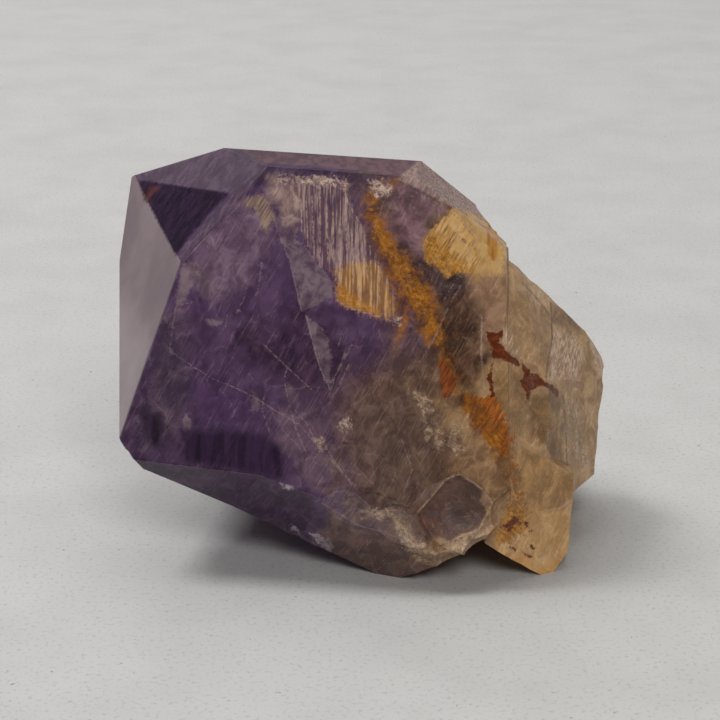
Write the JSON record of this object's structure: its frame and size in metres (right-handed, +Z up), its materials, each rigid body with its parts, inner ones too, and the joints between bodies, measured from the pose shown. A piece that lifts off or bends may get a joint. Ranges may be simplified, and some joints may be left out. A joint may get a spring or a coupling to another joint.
{
  "type": "raw amethyst point",
  "caption": "Hand-size raw quartz crystal with smooth faces meeting at a point at one end and a broken, uneven base at the other; stands on a small flat patch as a display stone or prop.",
  "frame": {"origin": "middle of the outline seen from above, at the height of the flat patch that the stone rests on", "axes": "+X along the crystal from its pointed end to its broken base, -Y towards the large front face, +Z up as it rests"},
  "size_m": [0.066, 0.044, 0.0513],
  "materials": {
    "crystal": "glossy crystal faces, matt broken base"
  },
  "bodies": {
    "root": {"amethyst_point": "crystal"}
  },
  "joints": []
}
